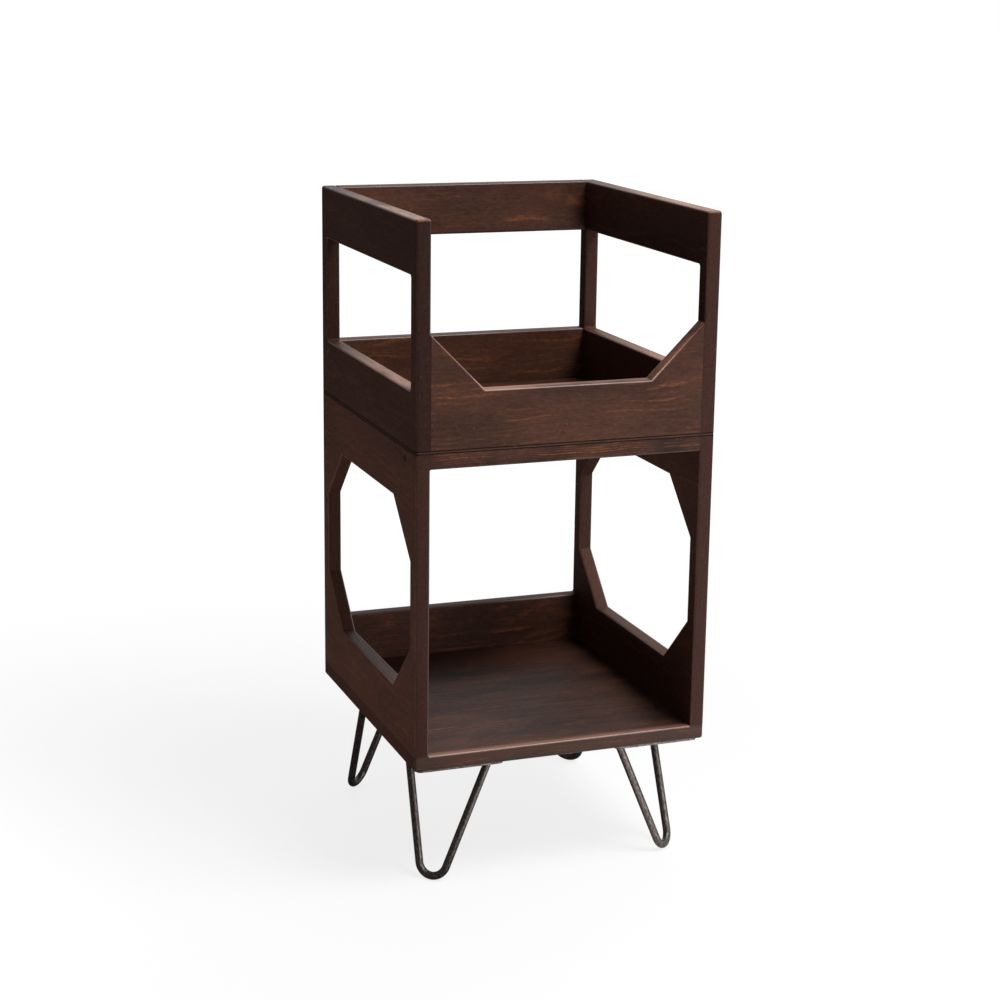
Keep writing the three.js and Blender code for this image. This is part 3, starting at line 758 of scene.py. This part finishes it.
def hairpin_line():
    """Middle line of a leg at the origin's corner, X and Y inwards: points, directions, distance
    along it and the normal of its leaning plane. A straight, an arc round the foot, and the same
    straight mirrored, each straight touching the arc where it leaves it."""
    foot = np.array([foot_inset, foot_inset, rod_radius - foot_flat])
    across = np.array([1.0, -1.0, 0.0]) / math.sqrt(2)
    middle = (rod_top_near + rod_top_far) / 2
    rise = np.array([middle, middle, plate_underside]) - foot
    height = np.linalg.norm(rise)
    rise /= height
    half = (rod_top_far - rod_top_near) / math.sqrt(2)
    reach = math.hypot(half, height - bend_radius)
    leave = math.atan2(height - bend_radius, half) - math.acos(bend_radius / reach)
    turn = np.linspace(-math.pi - leave, leave, bend_rings)
    bend = np.column_stack([np.cos(turn), 1 + np.sin(turn)]) * bend_radius
    tangent = np.column_stack([-np.sin(turn), np.cos(turn)])
    plain_parts = np.linspace(0, plain_to, plain_rings)[1:]
    bead_parts = np.linspace(bead_from, 1.0, bead_rings)
    parts = np.concatenate([plain_parts, bead_parts])[:, None]
    straight = bend[-1] + (np.array([half, height]) - bend[-1]) * parts
    mirror = np.array([-1, 1])
    flat = np.concatenate([straight[::-1] * mirror, bend, straight])
    heading = np.concatenate([
        np.tile(tangent[0], (len(parts), 1)), tangent, np.tile(tangent[-1], (len(parts), 1)),
    ])
    points = foot + flat @ np.stack([across, rise])
    directions = heading @ np.stack([across, rise])
    steps = np.linalg.norm(np.diff(points, axis=0), axis=1)
    along = np.concatenate([[0], np.cumsum(steps)]) - steps.sum() / 2
    return points, directions, along, np.cross(across, rise)


def hairpin_rod():
    """The bar round its middle line, as rings of points, with each point's place in the bar as it
    was before bending. Towards both tops the rings are slid along the bar until they lie level,
    and swell into the weld bead, whose ripples run round it."""
    middle, direction, along, normal = hairpin_line()
    side = np.cross(direction, normal)
    angle = np.linspace(0, 2 * math.pi, rod_sides, endpoint=False)
    drop = plate_underside - middle[:, 2]
    swell = np.clip(1 - drop / bead_height, 0, 1)
    ripple = np.outer(np.sin(math.pi * swell), np.cos(bead_ripples * angle)) * ripple_depth
    radius = rod_radius + (bead_reach * swell ** bead_fullness)[:, None] + ripple
    round_normal, round_side = np.cos(angle) * radius, np.sin(angle) * radius
    offset = round_normal[..., None] * normal + round_side[..., None] * side[:, None]
    rings = middle[:, None] + offset
    level = np.clip((levelled_from - drop) / bead_height, 0, 1)[:, None]
    steepness = np.where(level > 0, direction[:, 2:], 1)
    slide = (middle[:, 2:] - rings[..., 2]) / steepness * level
    rings = rings + slide[..., None] * direction[:, None]
    rings[..., 2] = rings[..., 2].clip(0, plate_underside)
    along = np.broadcast_to(along[:, None], radius.shape)
    return rings, np.stack([along, round_normal, round_side], axis=-1)


# Cycles per metre of the steel's patterns, along the bar and twice across it.
blotch_stretch, drawn_stretch, chip_stretch = (240, 640, 640), (30, 1400, 1400), (700, 900, 900)
blotch_span, drawn_span, chip_span = (0.34, 0.72), (0.5, 0.7), (0.66, 0.74)
drawn_strength, chip_strength = 0.2, 0.7
steel_roughness, blotch_dullness, chip_dullness = 0.28, 0.30, 0.12
drawn_height, chip_depth = 0.3, 0.5  # beside the blotches' height of 1


def steel_surface():
    """Oiled mill scale: blotches and fine drawn lines along the bar from noise, and chips where
    the scale has come off brighter steel. Place is metres, with X along the bar."""
    tree, takes, gives = new_group(
        "oiled_mill_scale",
        {"Place": "Vector", "Black": "Color", "Grey": "Color", "Bright": "Color"},
        {"Color": "Color", "Roughness": "Float", "Height": "Float"},
    )
    place = takes["Place"]
    blotch = stretched_noise(tree, place, blotch_stretch, detail=4, roughness=0.6)
    drawn = stretched_noise(tree, place, drawn_stretch, detail=3)
    chips = patches(tree, place, chip_stretch, chip_span, detail=3, roughness=0.7)
    scale = blend(tree, between(tree, blotch, *blotch_span), takes["Black"], takes["Grey"])
    lines = maths(tree, "MULTIPLY", between(tree, drawn, *drawn_span), drawn_strength)
    lined = blend(tree, lines, scale, takes["Grey"])
    dull = maths(tree, "MULTIPLY_ADD", blotch, blotch_dullness, steel_roughness)
    height = maths(tree, "MULTIPLY_ADD", drawn, drawn_height, blotch)
    chipped = maths(tree, "MULTIPLY", chips, chip_strength)
    feed(tree, gives, {
        "Color": blend(tree, chipped, lined, takes["Bright"]),
        "Roughness": maths(tree, "MULTIPLY_ADD", chips, chip_dullness, dull),
        "Height": maths(tree, "MULTIPLY_ADD", chips, -chip_depth, height),
    })
    return tree


steel_group = steel_surface()
scale_black, scale_grey, steel_bright = tone(58, 53, 51), tone(122, 112, 108), tone(178, 168, 164)
scale_metallic = 0.9
scale_depth, scale_relief = 0.00008, 0.6


def steel_material(name, place_of):
    """Oiled steel whose pattern is laid out by the given function of the material's tree."""
    material, tree, shader = new_material(name)
    surface = add(tree, "Group", {
        "Place": place_of(tree), "Black": scale_black, "Grey": scale_grey, "Bright": steel_bright,
    }, node_tree=steel_group)
    feed(tree, shader, {
        "Base Color": surface.outputs["Color"],
        "Roughness": surface.outputs["Roughness"],
        "Metallic": scale_metallic,
        "Normal": relief(tree, surface.outputs["Height"], scale_depth, scale_relief),
    })
    return material


def in_straight_bar(tree):
    """The point's place in the bar before it was bent, which each rod carries as an attribute."""
    return add(tree, "Attribute", attribute_name="place_in_bar").outputs["Vector"]


rod_material = steel_material("oiled_steel_rod", in_straight_bar)
bars_apart = 0.7  # along the steel's pattern, so that no two legs are marked alike

# Where each leg's corner lies, and its quarter turns from the front left.
leg_corners = {
    "front_left": (base_low.x, base_low.y, 0),
    "front_right": (base_high.x, base_low.y, 1),
    "back_right": (base_high.x, base_high.y, 2),
    "back_left": (base_low.x, base_high.y, 3),
}


def at_corner(points, corner):
    """Points of a leg drawn at the origin, turned to one corner of the cabinet and put there."""
    x, y, quarters = leg_corners[corner]
    turn = np.array(Matrix.Rotation(quarters * math.pi / 2, 3, "Z"))
    return points @ turn.T + np.array([x, y, 0])


rod_rings, rod_bar = hairpin_rod()
bar_ends = np.stack([rod_bar[0].mean(axis=0), rod_bar[-1].mean(axis=0)])
bar_places = np.concatenate([rod_bar.reshape(-1, 3), bar_ends])
for number, corner in enumerate(leg_corners):
    points, faces = closed_skin(at_corner(rod_rings, corner))
    rod = mesh_object("bent_rod_" + corner, points, faces, rod_material)
    own_places = bar_places + np.array([number * bars_apart, 0, 0])
    carried = rod.data.attributes.new("place_in_bar", "FLOAT_VECTOR", "POINT")
    carried.data.foreach_set("vector", own_places.astype(np.float32).ravel())
    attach(rod, "cabinet")
    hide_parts("leg_rod_" + corner)

# ---- Leg plates ---------------------------------------------------------------------------------
# Triangular plates cut from 3 mm steel sheet, screwed up under the bottom board. Their sharp edges
# are just broken with a file.

filed_edge = 0.0003
filed_angle = math.radians(60)  # edges that turn by more than this are filed


def in_object(tree):
    """The point's own place."""
    return add(tree, "TexCoord").outputs["Object"]


plate_material = steel_material("oiled_steel_plate", in_object)
for corner in leg_corners:
    plate = nodes["leg_plate_" + corner]
    plate.material_slots[0].material = plate_material
    crisp(plate)
    filed = plate.modifiers.new("filed", "BEVEL")
    filed.width = filed_edge
    filed.segments = 2
    filed.angle_limit = filed_angle
    plate.modifiers.move(plate.modifiers.find("filed"), 1)

# ---- Screws -------------------------------------------------------------------------------------
# Black-oxide steel screws with a cross recess. Four pan heads hold each leg plate, and six
# countersunk heads lie under the bottom board, where they hold it to the cabinet's sides.

head_radius, head_height = 0.0042, 0.0026
head_rim = 0.0005  # height at which the pan head's side turns into its dome
shank_radius, shank_point, tip_radius = 0.002, 0.004, 0.0002
recess_reach, recess_width = 0.0023, 0.00055  # each way from the middle
recess_depth = 0.0016
recess_slope = 0.3  # of the width, over which each wall of the recess goes down
head_sides, rim_rings, recess_rings = 64, 8, 18
head_crease = math.radians(35)
head_turns = 2.4  # radians from one screw to the next

screw_black, screw_worn = tone(30, 29, 28), tone(120, 114, 106)
smear_stretch, worn_stretch = (900, 900, 900), (420, 420, 420)  # cycles per metre
worn_span, worn_strength = (0.54, 0.66), 0.35
screw_metallic = 0.85
screw_roughness, smear_dullness = 0.25, 0.3
smear_depth = 0.00004

screw_material, tree, shader = new_material("black_oxide_screw")
place = add(tree, "TexCoord").outputs["Object"]
smear = stretched_noise(tree, place, smear_stretch, detail=4, roughness=0.6)
worn = patches(tree, place, worn_stretch, worn_span, detail=3)
worn_amount = maths(tree, "MULTIPLY", worn, worn_strength)
feed(tree, shader, {
    "Base Color": blend(tree, worn_amount, screw_black, screw_worn),
    "Roughness": maths(tree, "MULTIPLY_ADD", smear, smear_dullness, screw_roughness),
    "Metallic": screw_metallic,
    "Normal": relief(tree, smear, smear_depth),
})


def turned_rings(profile):
    """Level rings of points, one for each radius and height of a profile."""
    angle = np.linspace(0, 2 * math.pi, head_sides, endpoint=False)
    radii, heights = np.array(profile).T
    x, y = np.outer(radii, np.cos(angle)), np.outer(radii, np.sin(angle))
    return np.stack([x, y, np.broadcast_to(heights[:, None], x.shape)], axis=-1)


def cross_head_screw(shank, top_height):
    """Rings of a screw with its head up: the shank's profile, then in over the head's top, whose
    height is that of the given function of the radius, less the cross recess. Within half a width
    of either arm, at distance a along it, the recess is depth * (1 - (a / reach)^4) deep."""
    radii = np.concatenate([
        np.linspace(head_radius, recess_reach, rim_rings),
        np.linspace(recess_reach, 0, recess_rings)[1:-1],
    ])
    top = turned_rings(np.column_stack([radii, top_height(radii)]))
    x, y = abs(top[..., 0]), abs(top[..., 1])
    along, across = np.maximum(x, y), np.minimum(x, y)
    inside = np.clip((recess_width - across) / (recess_slope * recess_width), 0, 1)
    top[..., 2] -= inside * recess_depth * (1 - np.clip(along / recess_reach, 0, 1) ** 4)
    return np.concatenate([turned_rings(shank), top])


def pan_height(radius):
    """Height of the pan head's dome, a quarter of an ellipse over its rim."""
    return head_rim + (head_height - head_rim) * np.sqrt(1 - (radius / head_radius) ** 2)


pan_low, pan_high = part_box("leg_screw_front_left_1")
flat_low, flat_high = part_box("base_screw_left_1")
pan_length = pan_high.z - pan_low.z - head_height
flat_length = flat_high.z - flat_low.z
pan_screw = cross_head_screw([
    (tip_radius, -pan_length),
    (shank_radius, shank_point - pan_length),
    (shank_radius, 0),
    (head_radius, 0),
], pan_height)
flat_screw = cross_head_screw([
    (tip_radius, -flat_length),
    (shank_radius, shank_point - flat_length),
    (shank_radius, -head_height),
], np.zeros_like)

screw_names = [name for name in nodes if "screw" in name]
for number, name in enumerate(screw_names):
    low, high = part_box(name)
    pan = name.startswith("leg_screw")
    seat_height = low.z + head_height if pan else low.z
    seat = np.array([(low.x + high.x) / 2, (low.y + high.y) / 2, seat_height])
    turn = Matrix.Rotation(number * head_turns, 3, "Z") @ Matrix.Rotation(math.pi, 3, "X")
    points, faces = closed_skin((pan_screw if pan else flat_screw) @ np.array(turn).T)
    screw = mesh_object("cross_head_" + name, points + seat, faces, screw_material, head_crease)
    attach(screw, "cabinet")
    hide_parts(name)
